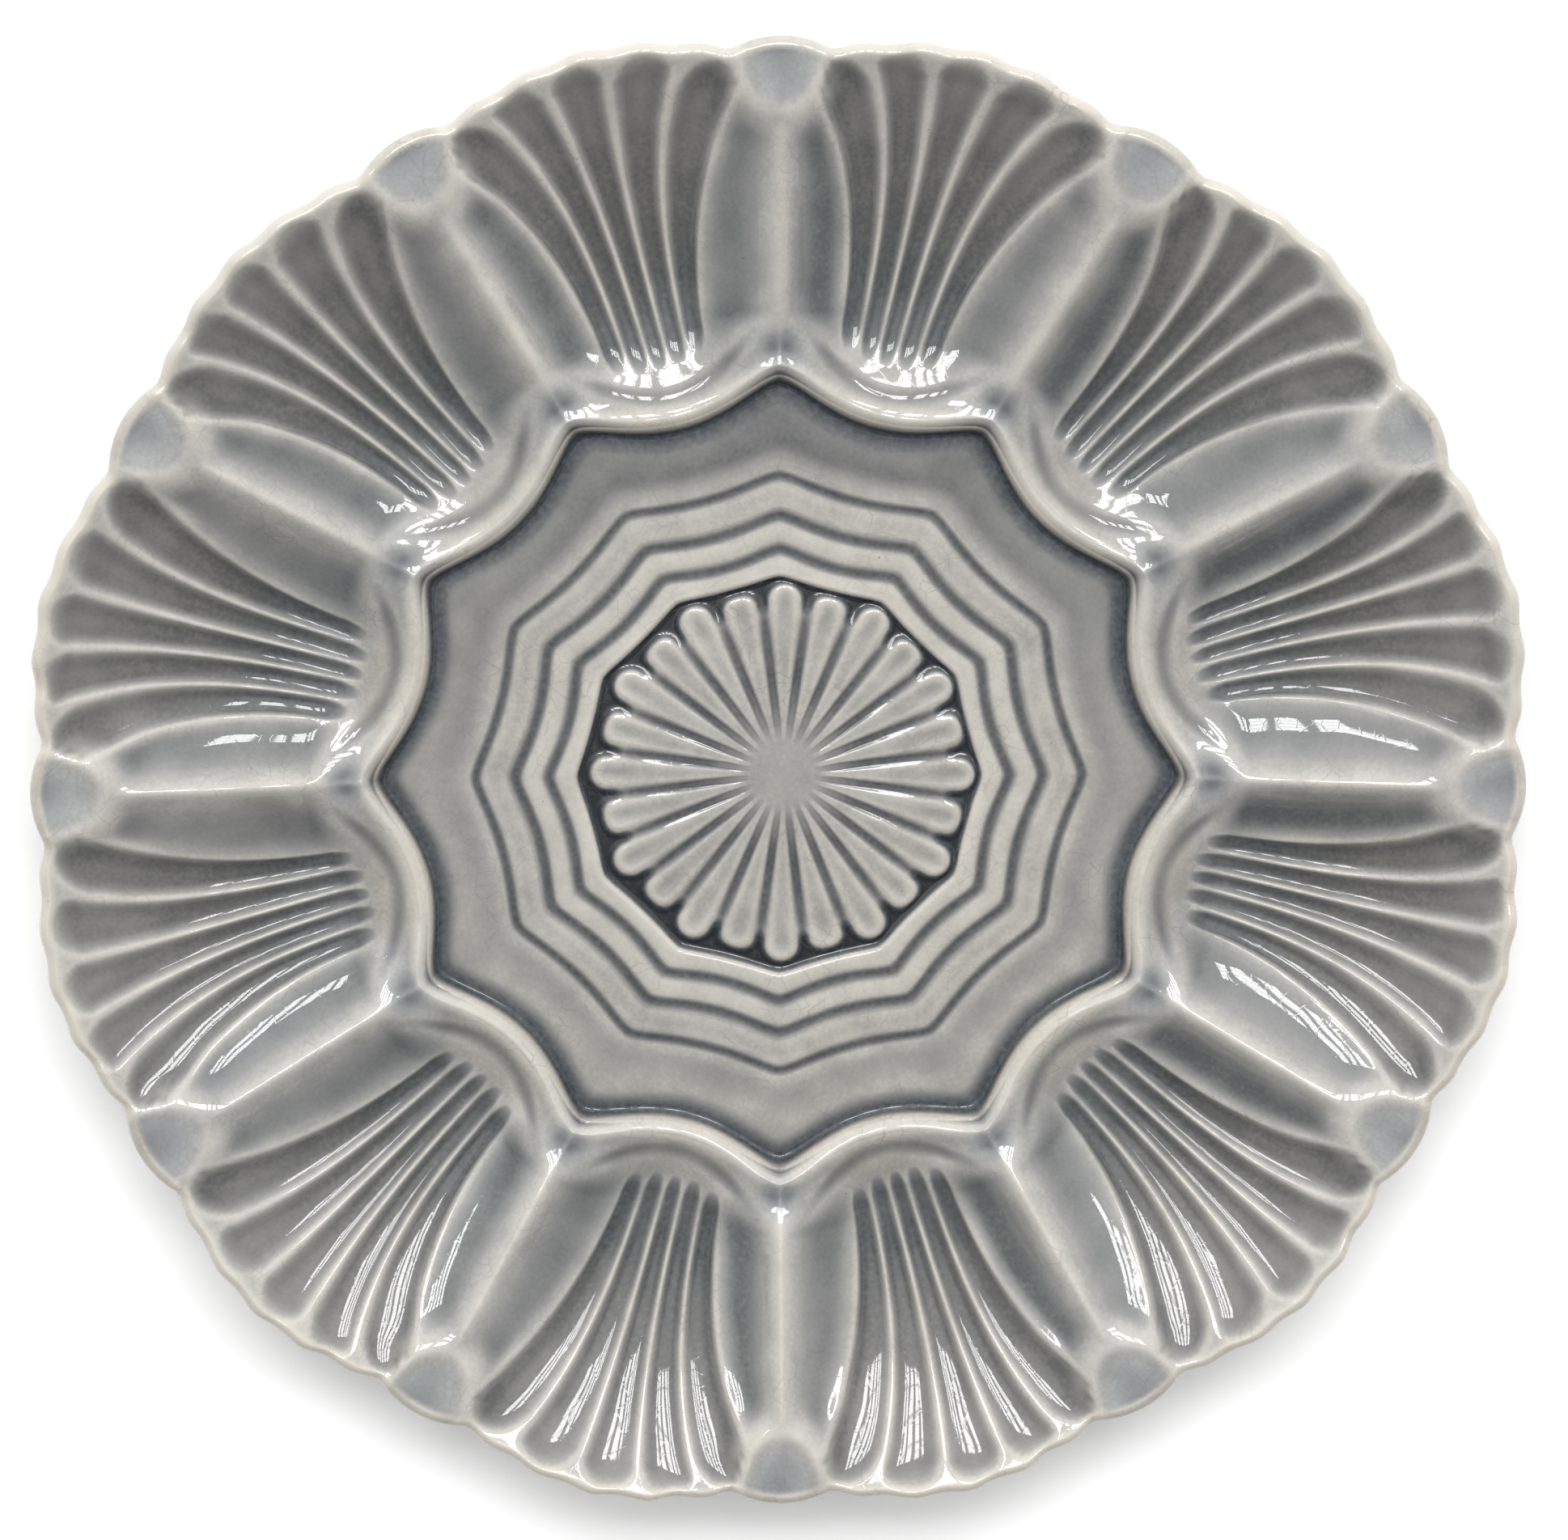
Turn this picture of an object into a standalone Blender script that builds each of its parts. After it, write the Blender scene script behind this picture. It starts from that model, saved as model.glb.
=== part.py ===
"""Glazed earthenware oyster dish: twelve scallop-shell wells round a sunken star-shaped floor.

Metres, +Z up, the foot stands on z = 0 and one rim lug points along +Y. A sector is one well: its
angle runs from 0 on the shell's centre line to half a sector on the ridge between two shells.
"""
import math

import bmesh
import bpy

# Plan of the face.
WELL_COUNT = 12
FLUTES_PER_WELL = 5
RIM_RADIUS = 0.185          # outline at the middle of a shell
NOTCH_INSET = 0.0045        # how much less it is where a shell meets a lug
LUG_INSET = 0.0020          # and at the tip of a lug
LUG_HALF_ANGLE = 3.8        # degrees, from the lug's middle to the notch beside it
LUG_LENGTH = 0.0180         # radial length of a lug
SCALLOP_DEPTH = 0.0010      # small scallops at the ends of the flutes
FLOOR_RADIUS = 0.0882       # star-shaped floor, at the middle of an arc
STAR_REACH = 0.0085         # how far the star's points go past that
LIP_BATTER = 0.0030         # sideways run of the step up from the floor
LIP_WIDTH = 0.0066          # from the foot of the step to the crest of the lip
WELL_END_REACH = 0.0175     # how far the crest moves out beside the ridge between two wells
WELL_WALL_RUN = 0.0095      # sideways run of a well's inner wall

# Heights above the floor.
LIP_RISE = 0.0042
STEP_RISE = 0.0036
WELL_DROP = 0.0030          # deepest line of a well below the floor
RIDGE_RISE = 0.0200         # ridge between two wells where it meets a lug
RIM_RISE = 0.0225

# Flutes of the shells.
FLUTE_DEPTH = 0.0017
FLUTE_PITCH_FOOT = 2.5      # degrees between flutes at the inner end of a well
FLUTE_FLARE = 2.10          # degrees added to that at the rim
LOBE_STEPS = 2              # mesh steps across the plain lobe beside the flutes

# Engraved floor: star-shaped grooves and the recess of the rosette. Each has its arc's radius and
# its points' reach beyond that, both as shares of the floor's radius.
GROOVES = ((0.810, 0.0431), (0.700, 0.0385), (0.611, 0.0340))
RECESS = (0.527, 0.0272)
GROOVE_WIDTH = 0.0018
GROOVE_DEPTH = 0.0010
RECESS_DEPTH = 0.0012
RECESS_BATTER = 0.0008
FLOOR_MARGIN = 0.0025       # plain ring of floor at the foot of the step
FLOOR_STEPS = 2             # mesh columns of the floor in each sector, at a point and at an arc

# Clay, glaze and foot.
WALL_THICKNESS = 0.0065
RIM_THICKNESS = 0.0050
RIM_ROUND = 0.0025
BACK_STEPS = 6              # mesh steps of the back in each sector
GLAZE_THICKNESS = 0.0005
GLAZE_GAP = 0.0003          # clay to glaze, and glaze to foot ring
FOOT_RADIUS = 0.0880
FOOT_WIDTH = 0.0090
FOOT_TAPER = 0.0015         # how much narrower the ring is on each side at its base
FOOT_ROUND = 0.0008
FOOT_CLEARANCE = 0.0025     # table to the lowest back of a well
FOOT_GAP = 0.0003           # foot ring to the clay above it
FOOT_STEPS = 72

SECTOR = 360.0 / WELL_COUNT
HALF_SECTOR = SECTOR / 2
SIDE_STEPS = FLUTES_PER_WELL + LOBE_STEPS
FACE_COLUMNS = WELL_COUNT * 2 * SIDE_STEPS
FLOOR_COLUMNS = WELL_COUNT * FLOOR_STEPS
BACK_COLUMNS = WELL_COUNT * BACK_STEPS
NOTCH_RADIUS = RIM_RADIUS - NOTCH_INSET
LUG_RADIUS = RIM_RADIUS - LUG_INSET
CREST_RADIUS = RIM_RADIUS - RIM_ROUND
WELL_START = FLOOR_RADIUS + LIP_WIDTH + WELL_WALL_RUN
FLOOR_Z = FOOT_CLEARANCE + WALL_THICKNESS + WELL_DROP
SEAT_Z = FLOOR_Z - WALL_THICKNESS

CLAY = (0.62, 0.53, 0.42)
GLAZE = (0.30, 0.31, 0.31)
BARE_CLAY = (0.55, 0.45, 0.34)

FACE_ZONE, BACK_ZONE, SEAT_ZONE, CENTRE_ZONE = range(4)


def clear_scene():
    for item in list(bpy.data.objects):
        bpy.data.objects.remove(item, do_unlink=True)


def material(name, colour, roughness):
    made = bpy.data.materials.new(name)
    made.use_nodes = True
    shader = made.node_tree.nodes["Principled BSDF"]
    shader.inputs["Base Color"].default_value = (*colour, 1.0)
    shader.inputs["Roughness"].default_value = roughness
    shader.inputs["Metallic"].default_value = 0.0
    return made


def smooth(value):
    """Eases from 0 to 1."""
    value = min(max(value, 0.0), 1.0)
    return value * value * (3.0 - 2.0 * value)


def star(angle):
    """0 at the middle of a star's arc and 1 at its point, rounded a little at the point."""
    share = abs(angle) / HALF_SECTOR
    return 1.22 * share ** 2 - 0.22 * share ** 10


def step_foot(angle):
    return FLOOR_RADIUS + STAR_REACH * star(angle)


def lip_crest(angle):
    """Radius of the crest round the inner end of a well."""
    return FLOOR_RADIUS + LIP_WIDTH + WELL_END_REACH * (abs(angle) / HALF_SECTOR) ** 2.6


def outline(angle):
    """Rim radius, without the small scallops."""
    shell_half = HALF_SECTOR - LUG_HALF_ANGLE
    if abs(angle) < shell_half:
        return RIM_RADIUS - (RIM_RADIUS - NOTCH_RADIUS) * (abs(angle) / shell_half) ** 2
    on_lug = smooth((abs(angle) - shell_half) / LUG_HALF_ANGLE)
    return NOTCH_RADIUS + (LUG_RADIUS - NOTCH_RADIUS) * on_lug


def along_well(radius):
    """0 at the inner end of a shell's flutes and 1 at the crest of the rim."""
    return min(max((radius - WELL_START) / (CREST_RADIUS - WELL_START), 0.0), 1.0)


def flute_pitch(radius):
    return FLUTE_PITCH_FOOT + FLUTE_FLARE * along_well(radius) ** 2


def fan_angle(radius):
    """Half the angle that the flutes cover."""
    return flute_pitch(radius) * FLUTES_PER_WELL / 2


def column_angle(step, radius):
    """Angle of a mesh column counted from the shell's centre line, so that columns follow the flutes."""
    count = abs(step)
    if count <= FLUTES_PER_WELL:
        size = flute_pitch(radius) * count / 2
    else:
        fan = fan_angle(radius)
        size = fan + (HALF_SECTOR - fan) * (count - FLUTES_PER_WELL) / LOBE_STEPS
    return math.copysign(size, step)


def shell_floor(radius):
    """Height along the centre line of a shell."""
    return -WELL_DROP + (RIM_RISE + WELL_DROP) * along_well(radius) ** 2


def ridge(radius):
    """Height along the ridge between two wells and up the lug at its outer end."""
    start = lip_crest(HALF_SECTOR)
    lug_foot = LUG_RADIUS - LUG_LENGTH
    if radius < lug_foot:
        share = max(radius - start, 0.0) / (lug_foot - start)
        return LIP_RISE + (RIDGE_RISE - LIP_RISE) * share
    share = min((radius - lug_foot) / (LUG_LENGTH - RIM_ROUND), 1.0)
    return RIDGE_RISE + (RIM_RISE - RIDGE_RISE) * share


def well_height(radius, angle):
    """Height of a well without its flutes."""
    fan = fan_angle(radius)
    share = max(abs(angle) - fan, 0.0) / (HALF_SECTOR - fan)
    sides = shell_floor(radius) + (ridge(radius) - shell_floor(radius)) * share ** 2
    up_wall = 1.0 - smooth((radius - lip_crest(angle)) / WELL_WALL_RUN)
    return sides + (LIP_RISE - sides) * up_wall


def flute_offset(step, share):
    """Half a flute's depth up on its edges and down in its channel, fading out at both ends."""
    if abs(step) > FLUTES_PER_WELL:
        return 0.0
    fade = smooth(share / 0.2) * (1.0 - smooth((share - 0.9) / 0.1))
    return FLUTE_DEPTH / 2 * fade * (1 if step % 2 else -1)


def lip_row(run, rise):
    """A row of the lip that follows the star's outline."""
    def place(step):
        angle = column_angle(step, FLOOR_RADIUS)
        return angle, step_foot(angle) + run, rise
    return place


def well_row(share):
    """A row across the well, share of the way from the lip's crest to the rim's crest."""
    def place(step):
        middle = lip_crest(0.0) + share * (CREST_RADIUS - lip_crest(0.0))
        angle = column_angle(step, middle)
        inner = lip_crest(angle)
        radius = inner + share * (outline(angle) - RIM_ROUND - inner)
        return angle, radius, well_height(radius, angle) + flute_offset(step, share)
    return place


def rim_row(inset, drop):
    """A row round the rim's edge, with a small scallop at the end of each flute."""
    def place(step):
        angle = column_angle(step, RIM_RADIUS)
        edge = outline(angle)
        crest = well_height(edge - RIM_ROUND, angle)
        if abs(step) <= FLUTES_PER_WELL:
            edge += SCALLOP_DEPTH * (-0.5 if step % 2 else 0.5)
        return angle, edge - inset, crest - drop
    return place


WALL_SHARE = WELL_WALL_RUN / (CREST_RADIUS - lip_crest(0.0))
FACE_ROWS = (
    lip_row(0.0, 0.0),
    lip_row(LIP_BATTER, STEP_RISE),
    *(well_row(share) for share in (0.0, WALL_SHARE, 0.28, 0.46, 0.64, 0.80, 0.92, 1.0)),
    rim_row(0.0, RIM_ROUND),
    rim_row(RIM_THICKNESS / 3, RIM_THICKNESS),
)


def at(angle, radius, height):
    """Point at an angle in degrees clockwise from +Y, with its height taken from the floor."""
    turn = math.radians(angle)
    return radius * math.sin(turn), radius * math.cos(turn), FLOOR_Z + height


def face_point(row, column):
    sector, step = divmod(column, 2 * SIDE_STEPS)
    angle, radius, height = FACE_ROWS[row](step - SIDE_STEPS)
    return at(sector * SECTOR + HALF_SECTOR + angle, radius, height)


def floor_rows():
    """(arc radius, point reach, height) of each loop of the engraved floor, from the rosette outward."""
    middle, reach = (share * FLOOR_RADIUS for share in RECESS)
    rows = [(middle - RECESS_BATTER, reach, -RECESS_DEPTH), (middle, reach, 0.0)]
    for groove in reversed(GROOVES):
        middle, reach = (share * FLOOR_RADIUS for share in groove)
        rows.append((middle - GROOVE_WIDTH / 2, reach, 0.0))
        rows.append((middle, reach, -GROOVE_DEPTH))
        rows.append((middle + GROOVE_WIDTH / 2, reach, 0.0))
    rows.append((FLOOR_RADIUS - FLOOR_MARGIN, STAR_REACH, 0.0))
    return rows


def floor_point(row, column):
    middle, reach, height = floor_rows()[row]
    point = 1.0 - column % FLOOR_STEPS
    return at(column * 360.0 / FLOOR_COLUMNS, middle + reach * point, height)


SEAT_INNER = FOOT_RADIUS - FOOT_WIDTH - GLAZE_GAP
SEAT_OUTER = FOOT_RADIUS + GLAZE_GAP
BULGE_START = max(WELL_START, SEAT_OUTER + WELL_WALL_RUN)
BACK_RADII = (
    SEAT_INNER,
    SEAT_OUTER,
    *(BULGE_START + share * (RIM_RADIUS - BULGE_START) for share in (0.0, 0.34, 0.62, 0.84)),
)


def back_height(radius, angle):
    """Height of the back, a wall's thickness under the well above it."""
    bulge = smooth((radius - SEAT_OUTER) / (BULGE_START - SEAT_OUTER))
    slope = (RIM_RISE + WELL_DROP) * 2 * along_well(radius) / (CREST_RADIUS - WELL_START)
    wall = WALL_THICKNESS * math.sqrt(1.0 + slope ** 2)
    share = abs(angle) / HALF_SECTOR
    above = shell_floor(radius) + (ridge(radius) - shell_floor(radius)) * share ** 4
    return bulge * (above - wall) - (1.0 - bulge) * WALL_THICKNESS


def back_point(row, column):
    radius = BACK_RADII[row]
    sector, step = divmod(column, BACK_STEPS)
    angle = step * SECTOR / BACK_STEPS - HALF_SECTOR
    return at(sector * SECTOR + HALF_SECTOR + angle, radius, back_height(radius, angle))


def polar_sheet(rows, columns, place):
    """A turned sheet of rows and columns, with each vertex moved to place(row, column)."""
    line = bpy.data.meshes.new("sheet_profile")
    points = [(row + 1.0, 0.0, 0.0) for row in range(rows)]
    line.from_pydata(points, [(row, row + 1) for row in range(rows - 1)], [])
    carrier = bpy.data.objects.new("sheet_profile", line)
    bpy.context.scene.collection.objects.link(carrier)
    turned = carrier.modifiers.new("turned", "SCREW")
    turned.axis = "Z"
    turned.angle = 2 * math.pi
    turned.steps = columns
    turned.render_steps = columns
    turned.use_merge_vertices = False
    depsgraph = bpy.context.evaluated_depsgraph_get()
    sheet = bmesh.new()
    sheet.from_object(carrier, depsgraph)
    for vertex in sheet.verts:
        row = round(math.hypot(vertex.co.x, vertex.co.y)) - 1
        column = round(math.atan2(vertex.co.x, vertex.co.y) / (2 * math.pi) * columns) % columns
        vertex.co = place(row, column)
    bpy.data.objects.remove(carrier, do_unlink=True)
    bpy.data.meshes.remove(line)
    return sheet


def add_sheet(body, sheet, zone):
    """Adds a sheet to the body and gives back its two open loops of edges, inner one first."""
    holder = bpy.data.meshes.new("sheet")
    sheet.to_mesh(holder)
    sheet.free()
    first_face = len(body.faces)
    first_edge = len(body.edges)
    body.from_mesh(holder)
    bpy.data.meshes.remove(holder)
    body.faces.ensure_lookup_table()
    body.edges.ensure_lookup_table()
    for face in body.faces[first_face:]:
        face.material_index = zone
    edges = [edge for edge in body.edges[first_edge:] if edge.is_boundary]
    sizes = {edge: sum(vertex.co.xy.length for vertex in edge.verts) / 2 for edge in edges}
    middle = (min(sizes.values()) + max(sizes.values())) / 2
    inner = [edge for edge in edges if sizes[edge] < middle]
    outer = [edge for edge in edges if sizes[edge] >= middle]
    return inner, outer


def mark(faces, zone):
    for face in faces:
        face.material_index = zone


def clay_surface():
    """The whole closed surface of the clay dish, with each face's zone in its material index."""
    body = bmesh.new()
    face = polar_sheet(len(FACE_ROWS), FACE_COLUMNS, face_point)
    floor = polar_sheet(len(floor_rows()), FLOOR_COLUMNS, floor_point)
    back = polar_sheet(len(BACK_RADII), BACK_COLUMNS, back_point)
    face_inner, face_outer = add_sheet(body, face, FACE_ZONE)
    floor_inner, floor_outer = add_sheet(body, floor, FACE_ZONE)
    back_inner, back_outer = add_sheet(body, back, BACK_ZONE)
    bmesh.ops.contextual_create(body, geom=floor_inner)
    mark(bmesh.ops.contextual_create(body, geom=back_inner)["faces"], CENTRE_ZONE)
    bmesh.ops.bridge_loops(body, edges=floor_outer + face_inner)
    bmesh.ops.bridge_loops(body, edges=face_outer + back_outer)
    for face in body.faces:
        if face.material_index == BACK_ZONE and face.calc_center_median().xy.length < SEAT_OUTER:
            face.material_index = SEAT_ZONE
    bmesh.ops.recalc_face_normals(body, faces=body.faces)
    return body


def add_part(name, mesh, look, collection):
    mesh.materials.clear()
    mesh.materials.append(look)
    part = bpy.data.objects.new(name, mesh)
    collection.objects.link(part)
    return part


def mesh_of(surface, name, kept_zones, lift=0.0):
    """A mesh of the surface's faces in the zones that are kept, lifted evenly off the surface."""
    part = surface.copy()
    dropped = [face for face in part.faces if face.material_index not in kept_zones]
    bmesh.ops.delete(part, geom=dropped, context="FACES")
    mark(part.faces, 0)
    part.normal_update()
    moves = [(vertex, vertex.normal * vertex.calc_shell_factor() * lift) for vertex in part.verts]
    for vertex, move in moves:
        vertex.co += move
    mesh = bpy.data.meshes.new(name)
    part.to_mesh(mesh)
    part.free()
    return mesh


def glaze_part(name, surface, zones, look, collection):
    """A coat of glaze over some zones of the clay, standing a small gap off it."""
    coat = add_part(name, mesh_of(surface, name, zones, GLAZE_GAP), look, collection)
    skin = coat.modifiers.new("coat", "SOLIDIFY")
    skin.thickness = GLAZE_THICKNESS
    skin.offset = 1.0
    skin.use_even_offset = True
    return coat


def foot_ring(look, collection):
    """The turned ring under the dish, a little narrower at its base."""
    top = SEAT_Z - FOOT_GAP
    outer = FOOT_RADIUS
    inner = FOOT_RADIUS - FOOT_WIDTH
    profile = (
        (outer, top),
        (outer - FOOT_TAPER, FOOT_ROUND),
        (outer - FOOT_TAPER - FOOT_ROUND, 0.0),
        (inner + FOOT_TAPER + FOOT_ROUND, 0.0),
        (inner + FOOT_TAPER, FOOT_ROUND),
        (inner, top),
    )
    mesh = bpy.data.meshes.new("foot_ring")
    count = len(profile)
    edges = [(index, (index + 1) % count) for index in range(count)]
    mesh.from_pydata([(radius, 0.0, height) for radius, height in profile], edges, [])
    ring = add_part("foot_ring", mesh, look, collection)
    turned = ring.modifiers.new("turned", "SCREW")
    turned.axis = "Z"
    turned.angle = 2 * math.pi
    turned.steps = FOOT_STEPS
    turned.render_steps = FOOT_STEPS
    turned.use_merge_vertices = True
    turned.merge_threshold = 0.00001


def main():
    clear_scene()
    parts = bpy.data.collections.new("oyster_dish")
    bpy.context.scene.collection.children.link(parts)
    glaze = material("grey_glaze", GLAZE, 0.12)
    surface = clay_surface()
    all_zones = (FACE_ZONE, BACK_ZONE, SEAT_ZONE, CENTRE_ZONE)
    clay = material("earthenware", CLAY, 0.75)
    add_part("dish_body", mesh_of(surface, "dish_body", all_zones), clay, parts)
    glaze_part("glaze_coat", surface, (FACE_ZONE, BACK_ZONE), glaze, parts)
    glaze_part("foot_glaze", surface, (CENTRE_ZONE,), material("foot_glaze", GLAZE, 0.15), parts)
    surface.free()
    foot_ring(material("bare_earthenware", BARE_CLAY, 0.85), parts)


main()
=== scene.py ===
"""Looks of the oyster dish: fine relief, pooled glaze, foot, studio floor, light and camera.

The relief works in millimetres. A radius is taken from the dish's axis, an angle is in degrees clockwise
from +Y seen from above, and a height is taken from the sunken floor. A local angle is 0 on the centre
line of a shell and half a sector on the ridge between two shells. A span is given as (start, length), and a
star-shaped line as (radius of an arc, reach of a point).
"""

import math

import bpy
import numpy as np
from mathutils import Matrix, Vector


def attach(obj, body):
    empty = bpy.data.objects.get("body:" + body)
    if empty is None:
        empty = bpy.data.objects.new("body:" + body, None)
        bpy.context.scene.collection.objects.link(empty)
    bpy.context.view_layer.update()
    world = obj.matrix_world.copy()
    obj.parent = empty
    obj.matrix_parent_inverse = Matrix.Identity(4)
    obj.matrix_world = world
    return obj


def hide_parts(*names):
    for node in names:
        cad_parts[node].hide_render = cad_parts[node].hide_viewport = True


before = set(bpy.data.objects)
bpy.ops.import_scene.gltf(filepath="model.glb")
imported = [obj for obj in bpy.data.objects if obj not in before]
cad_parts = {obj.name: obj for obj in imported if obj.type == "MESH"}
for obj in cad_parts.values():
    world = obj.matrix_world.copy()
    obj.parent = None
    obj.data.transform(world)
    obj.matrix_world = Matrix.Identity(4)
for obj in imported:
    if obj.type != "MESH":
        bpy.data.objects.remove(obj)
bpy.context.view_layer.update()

MM = 0.001
WELL_COUNT = 12
SECTOR = 360.0 / WELL_COUNT
HALF_SECTOR = SECTOR / 2

# Heights above the table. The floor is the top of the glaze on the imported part's clay.
FLOOR_Z = 12.8
SEAT_Z = 5.5

# Sunken floor and the step round it. A groove has the radius of an arc, the reach of its points, the
# widths of its inner and its outer side, and its depth. An open share is what the glaze leaves of a depth.
STEP_FOOT = (88.2, 8.5)
POINT_ROUND = 0.22
POINT_ROUND_POWER = 10
GROOVES = ((53.8, 3.1, 1.9, 2.2, 1.55), (61.7, 3.5, 1.8, 2.1, 1.4), (71.3, 3.9, 1.6, 1.5, 1.1))
GROOVE_OPEN = 0.18
TRENCH_DEPTH = 0.7
TRENCH_INNER = 3.4
TRENCH_OUTER = 1.4
TRENCH_SHIFT = 0.3
TRENCH_OPEN = 0.6
STEP = (0.9, 3.0)
LIP_START = 3.9
LIP_RISE = 3.2
LIP_BULGE = 0.3

# Rosette in the middle of the floor. It was carved a little off the axis.
ROSETTE_SHIFT = (1.0, 0.6)
ROSETTE_TURN = 0.6
ROSETTE_EYE = (7.0, 6.0)
RECESS = (48.3, 1.9)
RECESS_EDGE = (-1.4, 2.4)
RECESS_DEPTH = 3.0
RECESS_DEPTH_INNER = 1.3
RECESS_DEPTH_MIDDLE = 0.65
RECESS_OUTER_SPAN = (39.5, 5.5)
RECESS_INNER_SPAN = (10.0, 14.0)
PETAL_PITCH = 15.0
PETAL_REACH = 47.5
PETAL_ALTERNATION = 0.95
PETAL_TOP = 0.35
PETAL_GAP = 0.9
PETAL_LEAST = 0.05
PETAL_END = 4.3
PETAL_SIDE = (0.55, 0.65)
PETAL_HOLLOW = 0.3
PETAL_HOLLOW_FROM_TIP = 6.5
PETAL_HOLLOW_SIZE = (4.5, 2.0)
RECESS_OPEN = 0.5

# Shell wells. The ridge between two wells, and the lug at its end, start at a (radius, height).
WELL_CREST = (94.4, 8.8)
WELL_CREST_RISE = 3.5
CORNER_RISE = 3.7
WALL_RUN = 17.0
WALL_POWER = 1.6
WALL_ROUND = 1.5
BEAD_RISE = 0.7
BEAD_WIDTH = 2.4
BEAD_END = (0.6, 0.4)
SEAM_DEPTH = 0.5
SEAM_WIDTH = 2.3
SEAM_PAST_CREST = 4.1
SEAM_REACH = 10.0
SEAM_END = (0.5, 0.4)
DIMPLE_RADIUS = 107.0
DIMPLE_DEPTH = 1.5
DIMPLE_SPREAD = 4.6
DIMPLE_ROUND = 6.0
DIMPLE_ROUND_SPAN = (DIMPLE_RADIUS, 10.0)
SHELL_LOW_RADIUS = 112.0
SHELL_LOW = -0.9
SHELL_RISE = 23.6
SHELL_RUN = 70.0
SHELL_POWER = 2.0
SHELL_MOST = 1.2
SHELL_INNER_RUN = 20.0
SHELL_INNER_CURVE = 0.009
RIDGE_START = (113.0, 8.5)
RIDGE_SLOPE = 0.23
LUG_START = (163.0, 20.0)
LUG_SLOPE = 0.07
LUG_JOIN = 1.5
CREST_ROUND = 1.5
BOWL_POWER = 2.6
LOBE_SAG = 1.3
LOBE_SAG_SKEW = 0.3
LOBE_SAG_WIDTHS = (1.5, 4.0)
LOBE_SAG_SPAN = (106.0, 18.0)
LOBE_SAG_GAIN = 5.0
LOBE_SAG_POWER = 1.3
LOBE_SAG_ROUND = 0.06
LOBE_LEAST = 0.5

# Flutes. The fan of each shell was carved a little to one side of the shell's middle.
FAN_SPAN = (115.0, 63.0)
FAN_TURN = -0.85
FAN_TURN_BACK = (0.0, 0.35, 0.75)
FAN_FOOT = (1.2, 3.85, 6.6)
FAN_FLARE = (1.25, 3.8, 6.75)
FAN_FLARE_POWER = (2.5, 2.5, 1.9)
FAN_MOST = 12.2
FAN_LOW_FLARE = 0.4
FAN_LOW_FLARE_SPAN = (153.0, 15.0)
MIDDLE_CHANNEL = 2
CHANNEL_ENDS = (183.2, 182.2, 178.6)
CHANNEL_FEET = (105.7, 105.9, 107.7)
CHANNEL_DEPTH = 1.8
CHANNEL_ROUND = 3.2
CHANNEL_SOFTNESS = 0.12
CHANNEL_FOOT_LENGTH = 2.4
CHANNEL_FOOT_POWER = 1.5
CHANNEL_SHALLOW = 0.4
CHANNEL_DEEPEN = (105.0, 25.0)
RIDGE_HALF_FOOT = 0.32
RIDGE_HALF_RIM = 0.65
RIDGE_WIDEN = (150.0, 25.0)

# Rim and lugs.
RIM_RADIUS = 185.2
RIM_FALL = 4.9
RIM_FALL_POWER = 1.7
RIM_BAND = (-4.4, 2.6)
NOTCH_ANGLE = 11.2
NOTCH_ROUND = 0.5
SCALLOP = 0.4
SCALLOP_PITCH = 4.5
SCALLOP_END = (10.0, 2.0)
LUG_RADIUS = 183.0
LUG_FALL = 2.5
LUG_HALF = 3.6
LUG_TIP = 164.8
LUG_LENGTH = 14.0
LUG_POWER = 1.9
LUG_WIDTH = 10.2
LUG_SIDE = 0.38
LUG_CLEAR = (1.0, 0.16)
LUG_SAG = 0.55
LUG_SAG_SPAN = (0.6, 3.6)
LUG_BEAD = 0.24
LUG_BEAD_WIDTH = 0.16
RIM_Z_LUG = 21.3
RIM_Z_SHELL = 1.7
RIM_Z_SPAN = (3.5, 8.0)
RIM_Z_ROUND = 1.0
RIM_NOSE = 2.4

# Slow unevenness. A wave has its rates along X and Y, in radians a millimetre, and its start. Of the two
# cross waves, one runs along X and one along Y, and they are multiplied.
WAVE_HEIGHT = 0.035
WAVES = ((0.21, 0.13, 1.0), (-0.23, 0.17, 2.1))
CROSS_WAVES = ((0.39, 0.5), (0.35, 1.7))

# Back and foot. The ring is out of round by waves of (size, count, start).
WALL = 6.5
RIM_WALL = 4.8
RIM_WALL_SPAN = (165.0, 17.0)
BACK_DROP = 1.0
BACK_RIDGE_POWER = 4
BACK_BLEND = 0.12
FOOT_OUTER = 88.0
FOOT_INNER = 79.0
FOOT_TUCK = 0.5
BACK_BULGE_SPAN = (FOOT_OUTER, 20.0)
RING_WAVES = ((0.06, 3, 0.7), (0.04, 7, 0.0))
DISC_SAG = 0.05
DISC_INSET = 2.2
DISC_TOP = 0.05
DISC_BASE = 0.45
DISC_ROUND = 0.2
DISC_RINGS = (0.01, 0.3, 0.6, 0.9, 0.97)

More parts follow.
